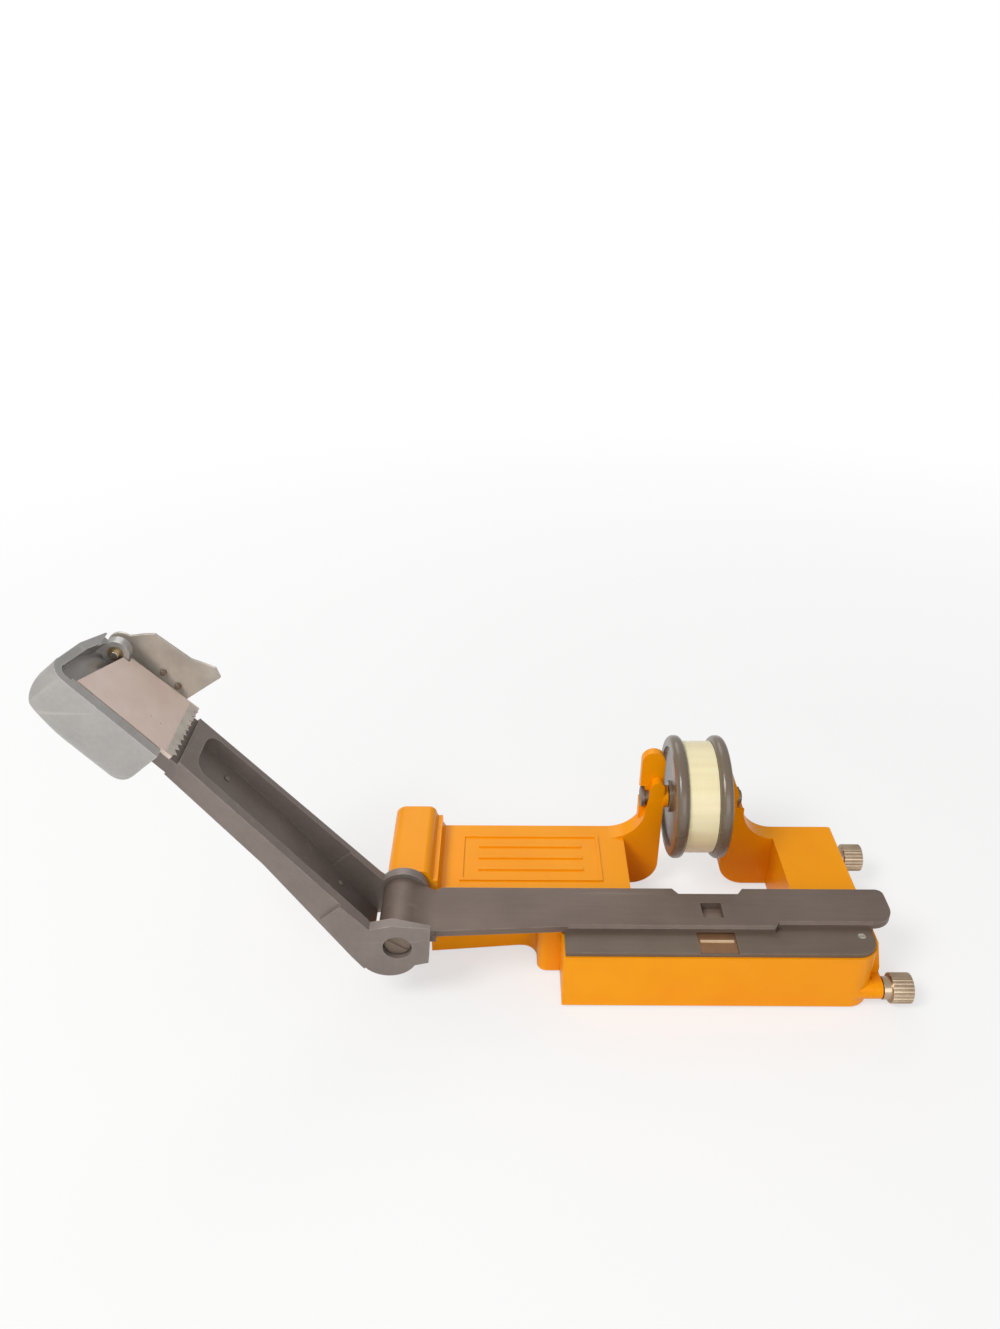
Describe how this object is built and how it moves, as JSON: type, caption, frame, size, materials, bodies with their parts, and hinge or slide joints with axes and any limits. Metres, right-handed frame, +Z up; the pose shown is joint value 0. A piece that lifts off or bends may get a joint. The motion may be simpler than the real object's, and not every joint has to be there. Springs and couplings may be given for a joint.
{
  "type": "film tape splicer",
  "caption": "Tape splicer for narrow-gauge film: a moulded base with film track, hinged clamp and splice arms, a swinging tape blade, a tape reel and thumb screws.",
  "frame": {"origin": "underside of the front rubber foot on the table, below the middle of the splice window and on the film's centreline", "axes": "+X along the film, away from the hinge; +Y towards the tape reel; +Z up"},
  "size_m": [0.3254, 0.1052, 0.1581],
  "materials": {
    "yellow_plastic": "glossy moulded",
    "grey_plastic": "satin moulded",
    "grey_metal": "satin grey-brown coating",
    "grip_metal": "satin grey lacquer",
    "steel": "bright",
    "plate_steel": "bright, slightly warm",
    "rubber": "matt",
    "brass": "plain",
    "tape": "cream polyester, wound"
  },
  "bodies": {
    "base": {"base_shell": "yellow_plastic", "bottom_cover": "grey_plastic", "cover_screws": "steel", "rubber_feet": "rubber", "end_cover": "yellow_plastic", "threaded_inserts": "brass", "film_track": "grey_metal", "track_screws": "steel", "die_plate": "steel", "registration_pins": "steel", "tape_bar": "steel", "hinge_pin": "steel", "hinge_washer": "steel", "reel_spindle": "steel", "spindle_clip": "steel"},
    "clamp": {"clamp_arm": "grey_metal", "clamp_pads": "rubber"},
    "splice": {"splice_arm": "grey_metal", "grip_cap": "grip_metal", "cap_screws": "steel", "pressure_plate": "plate_steel", "plate_rivets": "steel", "punch_block": "steel", "punch_pins": "steel", "blade_bush": "grip_metal", "blade_pivot": "steel"},
    "blade": {"tape_blade": "steel", "blade_rivets": "steel"},
    "reel": {"reel_flange_left": "grey_plastic", "reel_flange_right": "grey_plastic", "reel_core": "grey_plastic", "tape_roll": "tape"},
    "screw_front": {"thumb_screw_front": "steel"},
    "screw_rear": {"thumb_screw_rear": "steel"}
  },
  "joints": [
    {"name": "splice_arm_hinge", "type": "hinge", "parent": "base", "child": "splice", "pos_m": [-0.127, 0, 0.0314], "axis": [0, -1, 0], "range_deg": [-130, 0]},
    {"name": "clamp_arm_hinge", "type": "hinge", "parent": "base", "child": "clamp", "pos_m": [-0.127, 0, 0.0314], "axis": [0, -1, 0], "range_deg": [0, 95]},
    {"name": "tape_blade_swing", "type": "hinge", "parent": "splice", "child": "blade", "pos_m": [-0.22706, 0.0208, 0.14521], "axis": [0, -1, 0], "range_deg": [-16, 0], "stiffness_Nm_per_rad": 0.02, "springref_deg": 22.92},
    {"name": "reel_spin", "type": "hinge", "parent": "base", "child": "reel", "pos_m": [0, 0.0545, 0.049], "axis": [1, 0, 0], "continuous": true},
    {"name": "thumb_screw_front_spin", "type": "hinge", "parent": "base", "child": "screw_front", "pos_m": [0.0682, -0.0172, 0.0074], "axis": [1, 0, 0], "continuous": true},
    {"name": "thumb_screw_rear_spin", "type": "hinge", "parent": "base", "child": "screw_rear", "pos_m": [0.0682, 0.0545, 0.0135], "axis": [1, 0, 0], "continuous": true}
  ]
}
